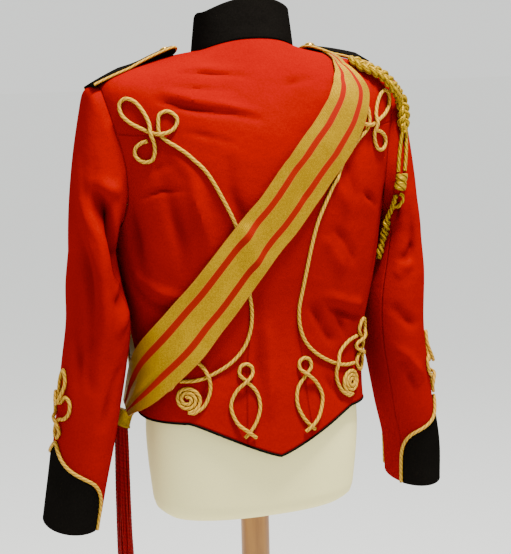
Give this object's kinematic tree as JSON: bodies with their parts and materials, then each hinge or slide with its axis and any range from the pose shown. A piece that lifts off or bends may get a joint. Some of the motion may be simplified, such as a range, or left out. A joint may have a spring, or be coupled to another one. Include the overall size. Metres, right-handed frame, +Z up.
{
  "type": "hussar jacket on a dress form",
  "caption": "Scarlet hussar jacket with pointed back, gold cord knots, striped shoulder sash and aiguillette, on a limbless dress form.",
  "frame": {"origin": "middle of the underside of the stand's base", "axes": "+Z up, the wearer's front towards -Y, the wearer's left towards +X"},
  "size_m": [0.599, 0.39, 1.482],
  "materials": {
    "scarlet_cloth": "napped wool",
    "black_cloth": "napped wool",
    "gold_cord": "twisted cord",
    "gold_lace": "woven, striped with crimson",
    "plaited_gold": "twisted cord",
    "crimson_thread": "silk",
    "gilt_metal": "polished",
    "form_cloth": "calico",
    "stand_wood": "varnished"
  },
  "bodies": {
    "root": {"aiguillette_chain": "plaited_gold", "aiguillette_cord_back": "plaited_gold", "aiguillette_cord_side": "plaited_gold", "aiguillette_front_cord": "plaited_gold", "aiguillette_loop": "plaited_gold", "aiguillette_plait": "plaited_gold", "aiguillette_wrap": "plaited_gold", "back": "scarlet_cloth", "back_knot_left": "gold_cord", "back_knot_right": "gold_cord", "base": "stand_wood", "collar": "black_cloth", "cuff_cord_left": "gold_cord", "cuff_cord_right": "gold_cord", "cuff_left": "black_cloth", "cuff_right": "black_cloth", "front_button_1": "gilt_metal", "front_button_2": "gilt_metal", "front_button_3": "gilt_metal", "front_button_4": "gilt_metal", "front_button_5": "gilt_metal", "front_button_6": "gilt_metal", "front_button_7": "gilt_metal", "front_button_8": "gilt_metal", "front_left": "scarlet_cloth", "front_right": "scarlet_cloth", "hem_piping": "black_cloth", "pole": "stand_wood", "rosette_left": "gold_cord", "rosette_right": "gold_cord", "sash_back": "gold_lace", "sash_front": "gold_lace", "sash_keeper": "gold_lace", "sash_tassel": "crimson_thread", "seam_eight_left": "gold_cord", "seam_eight_right": "gold_cord", "side_back_left": "scarlet_cloth", "side_back_right": "scarlet_cloth", "side_knot_left": "gold_cord", "side_knot_right": "gold_cord", "sleeve_knot_left": "gold_cord", "sleeve_knot_right": "gold_cord", "strap_button_left": "gilt_metal", "strap_button_right": "gilt_metal", "strap_cord_left": "gold_cord", "strap_cord_right": "gold_cord", "strap_left": "black_cloth", "strap_right": "black_cloth", "top_sleeve_left": "scarlet_cloth", "top_sleeve_right": "scarlet_cloth", "torso_form": "form_cloth", "under_sleeve_left": "scarlet_cloth", "under_sleeve_right": "scarlet_cloth"}
  },
  "joints": []
}
